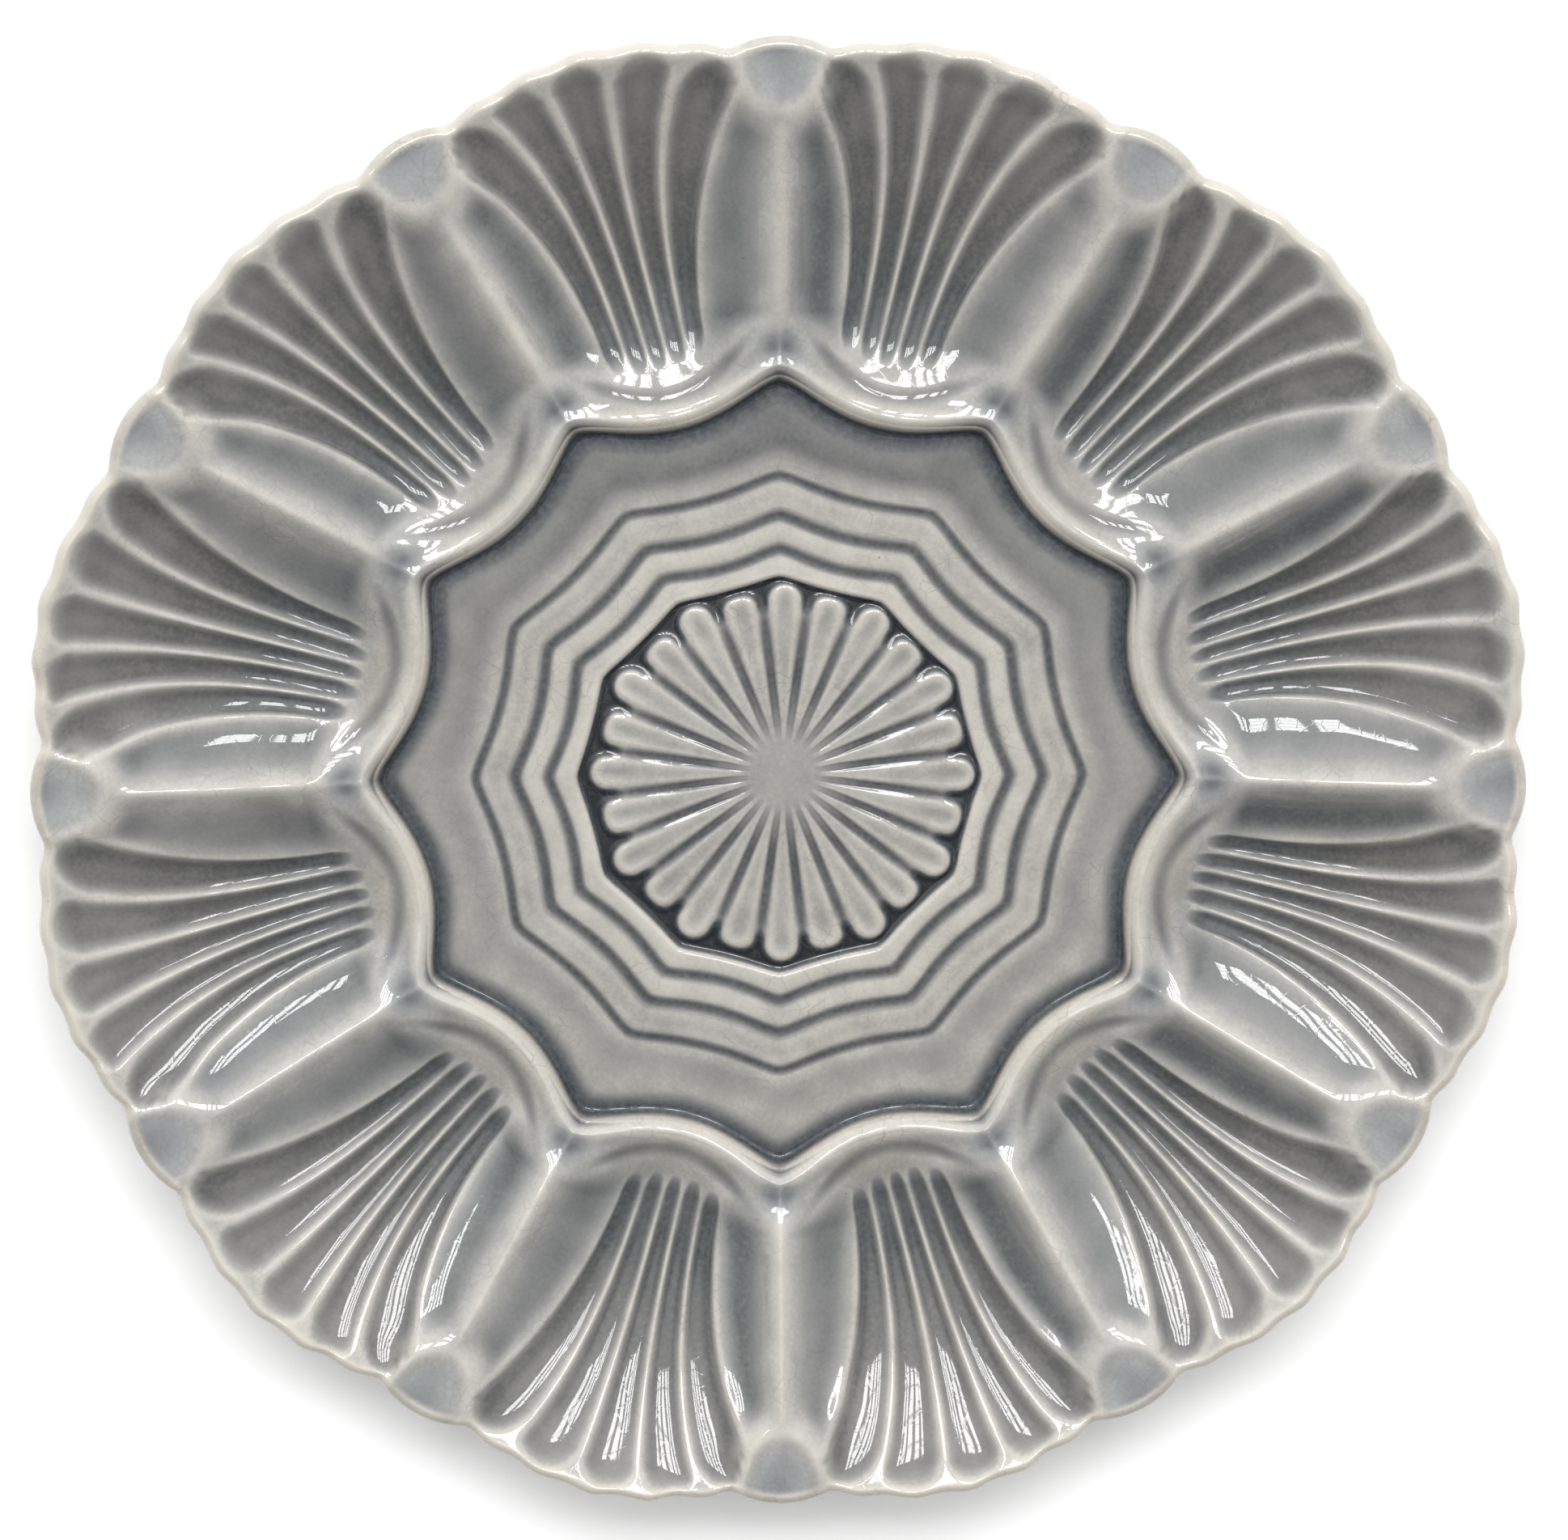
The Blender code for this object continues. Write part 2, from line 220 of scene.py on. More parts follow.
# Pooled glaze: width of each blur of the relief, then for a rise above it and a hollow below it how much a
# millimetre counts and where that levels off. A lobe's pool has a local angle, a radius and an amount.
POOL_SCALES = (
    (0.8, (0.9, 0.08), (0.9, 0.8)),
    (3.0, (0.09, 1.3), (0.5, 0.9)),
    (8.0, (0.02, 2.0), (0.1, 1.2)),
)
RASTER_CELL = 0.3
RASTER_EXTENT = 195.0
RECESS_POOL = 0.4
RECESS_POOL_DEPTH = 1.2
RIM_POOL = 0.1
LOBE_POOLS = ((-10.9, 137.0, 0.10), (11.2, 145.0, 0.04))
LOBE_POOL_SIZE = (2.5, 21.0)
# The lobes are made lighter toward -X, by this much at most.
LOBE_MINUS_X_LIGHTENING = 0.12
MINUS_X_SIDE_POWER = 3
CREST_POOL = 0.05
CREST_POOL_WIDTH = 3.0
CREST_POOL_START = (112.0, 8.0)
CREST_POOL_END = (158.0, 8.0)
DIMPLE_POOL = 0.16
PALM_POOL = 0.09
PALM_RADIUS = 107.5
PALM_WIDTH = 4.5
PALM_SIDES = (6.0, 3.0)
RING_POOL = 0.03
RING_POOL_START = (46.0, 4.0)
RING_POOL_END = (60.0, 6.0)
ROSETTE_POOL = 0.03
ROSETTE_POOL_SPAN = (20.0, 20.0)
FLOOR_BAND = (78.7, 4.0)
FLOOR_BAND_POOL = 0.1
FLOOR_BAND_WIDTH = 3.2
# Painted shade on the floor's edge under the step toward +Y, painted light on it toward -Y, and their span.
FLOOR_EDGE_PAINTED_SHADE = 0.34
FLOOR_EDGE_PAINTED_LIGHT = 0.08
FLOOR_PAINTED_EDGE_SPAN = (-3.0, 4.0)
BACK_POOL = 0.05
BACK_POOL_ROWS = 26

# Colour of the glaze by how much of it has pooled, from thin to deep.
GLAZE_COLOURS = (
    (-0.22, (0.444, 0.436, 0.414)),
    (-0.15, (0.386, 0.381, 0.363)),
    (-0.08, (0.332, 0.329, 0.317)),
    (-0.01, (0.262, 0.260, 0.250)),
    (0.10, (0.200, 0.200, 0.196)),
    (0.25, (0.140, 0.142, 0.142)),
    (0.40, (0.086, 0.089, 0.091)),
    (0.60, (0.052, 0.058, 0.063)),
    (0.85, (0.026, 0.033, 0.040)),
    (1.30, (0.007, 0.010, 0.014)),
)

# Tint of the glaze, from 0 where it looks warm to 1 where it looks blue. The trench and the step have a
# distance past the step's foot and a width.
TINT_SHELL = 0.65
TINT_CHANNEL = 0.55
TINT_CHANNEL_SPAN = (112.0, 35.0)
TINT_PALM = 0.6
TINT_PALM_SIDES = (6.0, 4.0)
TINT_PALM_END = (103.0, 4.0)
TINT_DIMPLE = 1.3
TINT_LUG_SPAN = (0.5, 0.5)
TINT_FLOOR = 0.42
TINT_TRENCH = (-0.3, 1.8)
TINT_STEP = (3.0, 1.3)
TINT_THIN = 0.5
TINT_POOL_SPAN = (-0.15, 0.25)
TINT_BACK = 0.5
WARM = (1.045, 1.0, 0.925, 1.0)
BLUE = (0.965, 1.0, 1.045, 1.0)

# Other details of the glaze and the clay, with sizes in metres.
POOL_RANGE = (-0.5, 1.5)
DRIFT_COOL = (0.93, 0.95, 0.97, 1.0)
DRIFT_WARM = (1.07, 1.05, 1.03, 1.0)
CRACK_COLOUR = (0.10, 0.095, 0.085, 1.0)
CRACK_PLATE = 0.0048
CRACK_WIDTH = 0.00016
CRACK_WOBBLE = 0.6
CRACK_BUMP = -0.000003
SPECK_COLOUR = (0.06, 0.055, 0.05, 1.0)
SPECK_PATCH = 0.007
SPECK_SHARE = 0.035
SPECK_CORE = 0.6
RIPPLE_LENGTH = 0.014
RIPPLE_BUMP = 0.00004
PEEL_LENGTH = 0.004
PEEL_BUMP = 0.000003
GLAZE_IOR = 1.6
CLAY_DARK = (0.40, 0.30, 0.20, 1.0)
CLAY_LIGHT = (0.58, 0.47, 0.35, 1.0)
CLAY_STAIN = (0.26, 0.21, 0.16, 1.0)
FOOT_COVER_DARK = (0.26, 0.265, 0.26, 1.0)
FOOT_COVER_LIGHT = (0.36, 0.355, 0.335, 1.0)
FOOT_COVER_ROUGHNESS = 0.1

# Where the face and the back lie in the map that the look is baked to, and the rim's row between them.
FACE_MAP_MIDDLE = 0.36
FACE_MAP_SIZE = 0.355
BACK_MAP_MIDDLE = 0.84
BACK_MAP_SIZE = 0.155
MAP_SPLIT_ROW = 6

# Light: a dome, dimmer overhead and brighter toward the window, the glow round the window, and its panes.
# Angles are in degrees and lengths in metres.
DOME_HORIZON = 1.27
DOME_TOP = 0.35
DOME_SLANT = 0.7
GLOW = 1.3
GLOW_CORE = 8.0
GLOW_EDGE = 48.0
WINDOW_TILT = 29.0
WINDOW_DISTANCE = 1.6
PANE_SIZE = (0.155, 0.115)
PANE_PITCH = (0.25, 0.125)
PANE_RADIANCE = 12.5
PANE_COLUMNS = (-2.0, -1.0, 0.0, 1.0, 2.0)
PANE_ROWS = (-1.5, -0.5, 0.5, 1.5)
STUDIO_FLOOR_HALF = 4.0

# Camera, fitted to the photograph: metres and degrees, with the lens and the sensor in millimetres.
CAMERA_DISTANCE = 1.2
CAMERA_TILT = 11.26
CAMERA_SWING = -7.93
CAMERA_SHIFT = (0.001165, 0.001667)
CAMERA_LENS = 111.0
CAMERA_SENSOR = 36.0

# Mesh.
CHANNEL_STEPS = 14
LOBE_STEPS = 24
COLUMN_CROWDING = 0.1
COLUMN_START = 105.0
RIM_TILTS = (78.0, -66.0)
RIM_ROWS = 13
BACK_ROWS = 40
BACK_FLAT_RADII = (60.0, 30.0)
CENTRE_RADIUS = 0.4
TURNED_COLUMNS = 480


def ramp(value):
    """Eases from 0 to 1."""
    share = np.clip(value, 0.0, 1.0)
    return share * share * (3.0 - 2.0 * share)


def eased(value, span):
    """Eases from 0 to 1 over a span."""
    return ramp((value - span[0]) / span[1])


def band(value, start, end):
    """1 between two spans, easing in over the first and out over the second."""
    return eased(value, start) * (1.0 - eased(value, end))


def soft_positive(value, softness):
    """The value where it is above 0, and 0 elsewhere, rounded between."""
    return 0.5 * (value + np.sqrt(value * value + softness * softness))


def local_angle(angle):
    return angle % SECTOR - HALF_SECTOR


def star(local):
    """0 at the middle of a star's arc and 1 at its rounded point."""
    share = np.abs(local) / HALF_SECTOR
    return (1.0 + POINT_ROUND) * share ** 2 - POINT_ROUND * share ** POINT_ROUND_POWER


def star_line(line, local):
    """Radius of a star-shaped line."""
    return line[0] + line[1] * star(local)


def step_foot(local):
    """Radius of the foot of the step round the floor."""
    return star_line(STEP_FOOT, local)


def well_crest(local):
    """Radius of the crest round the inner end of a well."""
    return star_line(WELL_CREST, local)


def outline(local):
    """Radius of the rim: a scalloped arc over each shell and a round lug between two."""
    size = np.abs(local)
    scallop = SCALLOP * np.cos(2 * np.pi * size / SCALLOP_PITCH) * (1.0 - eased(size, SCALLOP_END))
    shell = RIM_RADIUS - RIM_FALL * (size / NOTCH_ANGLE) ** RIM_FALL_POWER + scallop
    lug = LUG_RADIUS - LUG_FALL * ((HALF_SECTOR - size) / LUG_HALF) ** 2
    return lug + soft_positive(shell - lug, NOTCH_ROUND)


def near_rim(radius, local):
    """1 on the rim, fading to 0 a few millimetres inside it."""
    return eased(radius - outline(local), RIM_BAND)


def fan_edges(radius):
    """Local angles of the six ridges of a fan, from one side to the other."""
    share = np.clip((radius - FAN_SPAN[0]) / FAN_SPAN[1], 0.0, 1.0)
    low_side = []
    high_side = []
    for foot, flare, power, back in zip(FAN_FOOT, FAN_FLARE, FAN_FLARE_POWER, FAN_TURN_BACK):
        middle = FAN_TURN + back * share
        spread = np.minimum(foot + flare * share ** power, FAN_MOST)
        low_side.insert(0, middle - spread)
        high_side.append(middle + spread)
    low_side[0] = low_side[0] - FAN_LOW_FLARE * eased(radius, FAN_LOW_FLARE_SPAN)
    return low_side + high_side


def shell_top(radius):
    """Height along the middle of a shell, at the tops of its ridges."""
    outward = np.clip((radius - SHELL_LOW_RADIUS) / SHELL_RUN, 0.0, SHELL_MOST)
    inward = np.clip(SHELL_LOW_RADIUS - radius, 0.0, SHELL_INNER_RUN)
    return SHELL_LOW + SHELL_RISE * outward ** SHELL_POWER + SHELL_INNER_CURVE * inward ** 2


def ridge_top(radius):
    """Height along the ridge between two wells, nearly level on the lug at its end."""
    ridge = RIDGE_START[1] + RIDGE_SLOPE * (radius - RIDGE_START[0])
    lug = LUG_START[1] + LUG_SLOPE * (radius - LUG_START[0])
    return lug - soft_positive(lug - ridge, LUG_JOIN)


def lug_shield(radius, local):
    """Below 1 on a lug, whose outline is a rounded shield with its tip inward, and above 1 outside it."""
    across = np.radians(HALF_SECTOR - np.abs(local)) * radius / LUG_WIDTH
    along = np.clip(LUG_TIP + LUG_LENGTH - radius, 0.0, None) / LUG_LENGTH
    return (across ** LUG_POWER + along ** LUG_POWER) ** (1.0 / LUG_POWER)


def channel_depth(radius, local):
    """Depth of the five channels of a fan below the tops of its ridges."""
    edges = fan_edges(radius)
    ridge_half = RIDGE_HALF_FOOT + (RIDGE_HALF_RIM - RIDGE_HALF_FOOT) * eased(radius, RIDGE_WIDEN)
    total = 0.0
    for index in range(len(edges) - 1):
        low = edges[index]
        high = edges[index + 1]
        from_middle = abs(index - MIDDLE_CHANNEL)
        half = np.radians(high - low) / 2 * radius - ridge_half
        across = np.abs(np.radians(local - (low + high) / 2) * radius / half)
        past_end = np.clip(1.0 - (CHANNEL_ENDS[from_middle] - radius) / half, 0.0, None)
        from_foot = (radius - CHANNEL_FEET[from_middle]) / (CHANNEL_FOOT_LENGTH * half)
        past_foot = np.clip(1.0 - from_foot, 0.0, None)
        edge = np.hypot(across, past_end)
        inside = 1.0 - edge ** CHANNEL_ROUND - past_foot ** CHANNEL_FOOT_POWER
        total = total + soft_positive(inside, CHANNEL_SOFTNESS)
    deepening = CHANNEL_SHALLOW + (1.0 - CHANNEL_SHALLOW) * eased(radius, CHANNEL_DEEPEN)
    return CHANNEL_DEPTH * deepening * total * eased(lug_shield(radius, local), LUG_CLEAR)


def well_height(radius, local):
    """Height of a well's bowl and its lobes, up to the ridges at its sides and the lugs at its corners."""
    size = np.abs(local)
    width = np.radians(HALF_SECTOR) * np.maximum(radius, CENTRE_RADIUS)
    to_crest = (1.0 - size / HALF_SECTOR) * width
    crest_round = CREST_ROUND + DIMPLE_ROUND * (1.0 - eased(radius, DIMPLE_ROUND_SPAN))
    rounded = np.hypot(to_crest, crest_round) - crest_round
    climb = 1.0 - rounded / (np.hypot(width, crest_round) - crest_round)
    top = shell_top(radius)
    height = top + (ridge_top(radius) - top) * climb ** BOWL_POWER
    edges = fan_edges(radius)
    start = np.where(local < 0.0, -edges[0], edges[-1])
    lobe_width = np.maximum(HALF_SECTOR - start, LOBE_LEAST)
    share = np.clip((size - start) / lobe_width, 0.0, 1.0)
    sag = LOBE_SAG * (1.0 - LOBE_SAG_SKEW * np.sign(local))
    sag = sag * eased(lobe_width, LOBE_SAG_WIDTHS) * eased(radius, LOBE_SAG_SPAN)
    soft_share = np.hypot(share, LOBE_SAG_ROUND) - LOBE_SAG_ROUND
    height = height - sag * LOBE_SAG_GAIN * soft_share * (1.0 - share) ** LOBE_SAG_POWER
    on_lug = np.exp(-(np.clip(lug_shield(radius, local) - 1.0, 0.0, None) / LUG_SIDE) ** 2)
    return height + (ridge_top(radius) - height) * on_lug


def lug_hollow(radius, local):
    """Depth of the hollow on top of a lug, less the bead round it."""
    shield = lug_shield(radius, local)
    inside = ramp(1.0 - shield)
    bead = LUG_BEAD * np.exp(-((shield - 1.0) / LUG_BEAD_WIDTH) ** 2)
    return LUG_SAG * inside * eased(outline(local) - radius, LUG_SAG_SPAN) - bead


def dimple(radius, local):
    """1 in the middle of the dimple behind a point of the star, fading to 0 round it."""
    across = np.radians(HALF_SECTOR - np.abs(local)) * radius
    return np.exp(-((radius - DIMPLE_RADIUS) ** 2 + across ** 2) / DIMPLE_SPREAD ** 2)


def crest_height(local):
    """Height of the crest of a well, which rises toward the points of the star."""
    return WELL_CREST_RISE + CORNER_RISE * (np.abs(local) / HALF_SECTOR) ** 3


def crest_bead(radius, local):
    """Height of the bead along the crest of a well, which ends short of the points of the star."""
    rise = BEAD_RISE * (1.0 - eased(np.abs(local) / HALF_SECTOR, BEAD_END))
    return rise * np.exp(-((radius - well_crest(local)) / BEAD_WIDTH) ** 2)


def lip_height(radius, local):
    """Height between the step's edge and the crest of a well."""
    edge = step_foot(local) + LIP_START
    share = np.clip((radius - edge) / (well_crest(local) - edge), 0.0, 1.0)
    bulge = LIP_BULGE * 4.0 * share * (1.0 - share)
    return LIP_RISE + (crest_height(local) - LIP_RISE) * share + bulge


def shell_height(radius, local):
    """Height of the dish outside the star-shaped step."""
    share = np.abs(local) / HALF_SECTOR
    crest = well_crest(local)
    height = well_height(radius, local)
    past_crest = np.hypot(np.clip(radius - crest, 0.0, None), WALL_ROUND) - WALL_ROUND
    wall = np.clip(1.0 - past_crest / WALL_RUN, 0.0, 1.0) ** WALL_POWER
    height = height + (crest_height(local) - height) * wall
    height = np.where(radius < crest, lip_height(radius, local), height)
    height = height + crest_bead(radius, local)
    seam = crest + SEAM_PAST_CREST + SEAM_REACH * share ** 2
    seam_depth = SEAM_DEPTH * (1.0 - eased(share, SEAM_END))
    height = height - seam_depth * np.exp(-((radius - seam) / SEAM_WIDTH) ** 2)
    height = height - DIMPLE_DEPTH * dimple(radius, local)
    rim_height = RIM_Z_LUG + RIM_Z_SHELL * eased(HALF_SECTOR - np.abs(local), RIM_Z_SPAN)
    height = rim_height - soft_positive(rim_height - height, RIM_Z_ROUND)
    return height - lug_hollow(radius, local) - channel_depth(radius, local)


def rosette_height(radius, angle, filled):
    """Height of the sunken rosette: petals with hollow ends, and a plain middle."""
    turn = np.radians(angle)
    x = radius * np.sin(turn) - ROSETTE_SHIFT[0]
    y = radius * np.cos(turn) - ROSETTE_SHIFT[1]
    reach = np.hypot(x, y)
    bearing = np.degrees(np.arctan2(x, y)) - ROSETTE_TURN
    from_petal = (bearing + PETAL_PITCH / 2) % PETAL_PITCH - PETAL_PITCH / 2
    across = np.radians(from_petal) * reach
    pitch_half = np.radians(PETAL_PITCH / 2) * reach
    half = np.maximum(pitch_half - np.minimum(PETAL_GAP, 0.5 * pitch_half), PETAL_LEAST)
    tip = PETAL_REACH + PETAL_ALTERNATION * np.cos(np.pi * bearing / PETAL_PITCH)
    past = np.clip(PETAL_END - (tip - reach), 0.0, None)
    edge = np.hypot(across / half, past / PETAL_END)
    petal = 1.0 - eased(edge, PETAL_SIDE)
    petal = petal + (1.0 - petal) * (1.0 - eased(reach, ROSETTE_EYE))
    hollow_along = (reach - tip + PETAL_HOLLOW_FROM_TIP) / PETAL_HOLLOW_SIZE[0]
    hollow_across = across / PETAL_HOLLOW_SIZE[1]
    hollow = PETAL_HOLLOW * np.exp(-hollow_along ** 2 - hollow_across ** 2)
    depth = RECESS_DEPTH_MIDDLE - PETAL_TOP
    depth = depth + (RECESS_DEPTH_INNER - RECESS_DEPTH_MIDDLE) * eased(reach, RECESS_INNER_SPAN)
    depth = depth + (RECESS_DEPTH - RECESS_DEPTH_INNER) * eased(reach, RECESS_OUTER_SPAN)
    if filled:
        depth = depth * RECESS_OPEN
    return depth * (petal - 1.0) - PETAL_TOP - hollow


def floor_height(radius, angle, local, filled):
    """Height of the sunken floor up to the edge of the step."""
    groove_open = GROOVE_OPEN if filled else 1.0
    trench_open = TRENCH_OPEN if filled else 1.0
    height = crest_bead(radius, local)
    for arc, reach, inner, outer, depth in GROOVES:
        across = radius - star_line((arc, reach), local)
        across = across / np.where(across < 0.0, inner, outer)
        height = height - groove_open * depth * np.exp(-across ** 2)
    in_recess = 1.0 - eased(radius - star_line(RECESS, local), RECESS_EDGE)
    height = height + (rosette_height(radius, angle, filled) - height) * in_recess
    past_foot = radius - step_foot(local)
    past_trench = past_foot - TRENCH_SHIFT
    spread = np.where(past_trench < 0.0, TRENCH_INNER, TRENCH_OUTER)
    trench = TRENCH_DEPTH * trench_open * np.exp(-(past_trench / spread) ** 2)
    return height - trench + LIP_RISE * eased(past_foot, STEP)


def waviness(radius, angle):
    """Slow unevenness of hand-finished clay."""
    turn = np.radians(angle)
    x = radius * np.sin(turn)
    y = radius * np.cos(turn)
    (x_rate, x_start), (y_rate, y_start) = CROSS_WAVES
    total = np.sin(x_rate * x + x_start) * np.sin(y_rate * y + y_start)
    for x_rate, y_rate, start in WAVES:
        total = total + np.sin(x_rate * x + y_rate * y + start)
    return WAVE_HEIGHT * total


def relief(radius, angle, filled=True):
    """Height of the glazed face, which partly fills the hollows of the floor, or of the clay under it."""
    local = local_angle(angle)
    inside = radius < step_foot(local) + LIP_START
    height = np.where(inside, floor_height(radius, angle, local, filled), shell_height(radius, local))
    return height + waviness(radius, angle)


def back_height(radius, local):
    """Height of the back, a wall's thickness under the face, coming down to the foot ring."""
    outward = np.clip((radius - SHELL_LOW_RADIUS) / SHELL_RUN, 0.0, 1.0)
    slope = SHELL_POWER * SHELL_RISE / SHELL_RUN * outward ** (SHELL_POWER - 1.0)
    share = np.abs(local) / HALF_SECTOR
    top = shell_top(radius)
    above = top + (ridge_top(radius) - top) * share ** BACK_RIDGE_POWER
    wall = WALL + (RIM_WALL - WALL) * eased(radius, RIM_WALL_SPAN)
    under = above - BACK_DROP - wall * np.sqrt(1.0 + slope ** 2)
    bulge = eased(radius, BACK_BULGE_SPAN)
    return bulge * under + (1.0 - bulge) * (SEAT_Z - FLOOR_Z)


def column_angles(radius):
    """Local angles of a sector's mesh columns. They follow the flutes and are closest on their ridges."""
    side = np.full_like(radius, HALF_SECTOR)
    edges = [-side] + fan_edges(radius) + [side]
    columns = []
    for index in range(len(edges) - 1):
        lobe = index in (0, len(edges) - 2)
        count = LOBE_STEPS if lobe else CHANNEL_STEPS
        step = np.arange(count) / count
        if not lobe:
            step = step - COLUMN_CROWDING * np.sin(2 * np.pi * step)
        columns.append(edges[index] + (edges[index + 1] - edges[index]) * step)
    return np.concatenate(columns, axis=-1)


def row_radii(local):
    """Radii of the face's mesh rows at each column, closest where the relief turns sharply.

    Each stop has a radius and the count of rows from it to the next stop.
    """
    recess = star_line(RECESS, local)
    foot = step_foot(local)
    crest = well_crest(local)
    rim = outline(local)
    stops = [(np.full_like(local, CENTRE_RADIUS), 90), (recess - 2.2, 14), (recess + 1.6, 5)]
    for groove in GROOVES:
        line = star_line(groove, local)
        stops += [(line - 1.8, 12), (line + 1.8, 7)]
    stops += [(foot - 6.0, 34), (foot + LIP_START, 16), (crest, 22), (crest + 8.0, 128)]
    stops += [(rim - 9.0, 22), (rim - RIM_NOSE, 1)]
    rows = []
    for (low, count), (high, _) in zip(stops, stops[1:]):
        rows += [low + (high - low) * step / count for step in range(count)]
    rows.append(stops[-1][0])
    return rows


def face_grid():
    """Radius and local angle of each face vertex in one sector, as rows by columns."""
    start = column_angles(np.full((1, 1), COLUMN_START))[0]
    rows = np.stack(row_radii(start))
    for _ in range(3):
        middle = rows.mean(axis=1, keepdims=True)
        local = column_angles(middle)
        rows = np.stack([row_radii(local[index])[index] for index in range(len(rows))])
    return rows, local


def all_sectors(values, turn=0.0):
    """Repeats one sector's columns round the dish, adding the sector's angle where that is asked for."""
    return np.concatenate([values + turn * sector for sector in range(WELL_COUNT)], axis=1)


def dish_grid():
    """Radius, angle and height of every vertex, and the count of rows on the face.

    The face, the rim and the back are rows of one grid.
    """
    radius, local = face_grid()
    radius = all_sectors(radius)
    angle = all_sectors(local + HALF_SECTOR, SECTOR)
    height = relief(radius, angle)
    rim_angle = angle[-1]
    rim_local = local_angle(rim_angle)
    edge = outline(rim_local)
    crest = height[-1]
    rows = [(radius[index], angle[index], height[index]) for index in range(len(radius))]
    for tilt in np.radians(np.linspace(*RIM_TILTS, RIM_ROWS)):
        nose_radius = edge - RIM_NOSE + RIM_NOSE * np.cos(tilt)
        nose_height = crest - RIM_NOSE + RIM_NOSE * np.sin(tilt)
        rows.append((nose_radius, rim_angle, nose_height))
    last_radius, _, last_height = rows[-1]
    for share in np.linspace(0.0, 1.0, BACK_ROWS + 1)[1:]:
        back_radius = last_radius + (FOOT_OUTER - FOOT_TUCK - last_radius) * share
        target = back_height(back_radius, rim_local)
        back = last_height + (target - last_height) * ramp(share / BACK_BLEND)
        rows.append((back_radius, rim_angle, back))
    for size in (FOOT_INNER - FOOT_TUCK, *BACK_FLAT_RADII, CENTRE_RADIUS):
        flat = np.full_like(rim_angle, size)
        rows.append((flat, rim_angle, np.full_like(flat, SEAT_Z - FLOOR_Z)))
    grids = [np.stack(part) for part in zip(*rows)]
    return grids[0], grids[1], grids[2], len(radius)


def blurred(field, sigma):
    """The field smoothed by a round Gaussian whose width is in cells."""
    rows = np.fft.fftfreq(field.shape[0])[:, None]
    columns = np.fft.rfftfreq(field.shape[1])[None, :]
    weight = np.exp(-2.0 * (np.pi * sigma) ** 2 * (rows ** 2 + columns ** 2))
    return np.fft.irfft2(np.fft.rfft2(field) * weight, s=field.shape)


def floor_pool_and_shade(radius, angle, local, height):
    """More or less glaze on the floor than its relief alone would hold, and painted shade on its +Y edge.
    """
    in_recess = 1.0 - ramp(radius - star_line(RECESS, local))
    pool = RECESS_POOL * in_recess * np.clip(-RECESS_POOL_DEPTH - height, 0.0, None)
    pool += ROSETTE_POOL * (1.0 - eased(radius, ROSETTE_POOL_SPAN))
    pool -= RING_POOL * band(radius, RING_POOL_START, RING_POOL_END)
    past_band = radius - star_line(FLOOR_BAND, local)
    pool += FLOOR_BAND_POOL * np.exp(-(past_band / FLOOR_BAND_WIDTH) ** 2)
    # Painted shade along the floor's edge toward +Y, turning to painted light toward -Y.
    painted_edge = eased(past_band, FLOOR_PAINTED_EDGE_SPAN) * (radius < step_foot(local))
    shaded_side = (0.5 + 0.5 * np.cos(np.radians(angle))) ** 2
    return pool + (FLOOR_EDGE_PAINTED_SHADE * shaded_side - FLOOR_EDGE_PAINTED_LIGHT) * painted_edge


def shell_pooling(radius, angle, local):
    """More or less glaze on the shells than their relief alone would hold, and lighter lobes toward -X."""
    pool = DIMPLE_POOL * dimple(radius, local)
    palm_sides = 1.0 - eased(np.abs(local - FAN_TURN), PALM_SIDES)
    pool -= PALM_POOL * palm_sides * np.exp(-((radius - PALM_RADIUS) / PALM_WIDTH) ** 2)
    to_ridge = np.radians(HALF_SECTOR - np.abs(local)) * radius / CREST_POOL_WIDTH
    pool += CREST_POOL * band(radius, CREST_POOL_START, CREST_POOL_END) * np.exp(-to_ridge ** 2)
    # Lighter lobes toward -X.
    minus_x_side = (0.5 - 0.5 * np.sin(np.radians(angle))) ** MINUS_X_SIDE_POWER
    for lobe_angle, lobe_radius, lobe_pool in LOBE_POOLS:
        off_angle = (local - lobe_angle) / LOBE_POOL_SIZE[0]
        off_radius = (radius - lobe_radius) / LOBE_POOL_SIZE[1]
        in_lobe = np.exp(-(off_angle ** 2 + off_radius ** 2) ** 2)
        pool += (lobe_pool - LOBE_MINUS_X_LIGHTENING * minus_x_side) * in_lobe
    return pool - RIM_POOL * near_rim(radius, local)


def pooling_field(cell, extent):
    """How much glaze pools at each place on a square raster, off rises and into hollows, plus painted
    shade.
    """
    line = np.arange(-extent, extent, cell)
    x, y = np.meshgrid(line, line, indexing="ij")
    angle = np.degrees(np.arctan2(x, y))
    local = local_angle(angle)
    radius = np.minimum(np.hypot(x, y), outline(local) - RIM_NOSE)
    height = relief(radius, angle, filled=False)
    pool = np.zeros_like(height)
    for width, rise, hollow in POOL_SCALES:
        depth = blurred(height, width / cell) - height
        weight, most = [np.where(depth < 0.0, *pair) for pair in zip(rise, hollow)]
        pool += weight * most * np.tanh(depth / most)
    return pool + floor_pool_and_shade(radius, angle, local, height) + shell_pooling(radius, angle, local)


def sampled(field, x, y, cell, extent):
    """Bilinear values of a raster at points in millimetres."""
    row = np.clip((x + extent) / cell, 0.0, field.shape[0] - 1.001)
    column = np.clip((y + extent) / cell, 0.0, field.shape[1] - 1.001)
    low_row = row.astype(int)
    low_column = column.astype(int)
    row = row - low_row
    column = column - low_column
    near = field[low_row, low_column] * (1 - column) + field[low_row, low_column + 1] * column
    far = field[low_row + 1, low_column] * (1 - column) + field[low_row + 1, low_column + 1] * column
    return near * (1 - row) + far * row


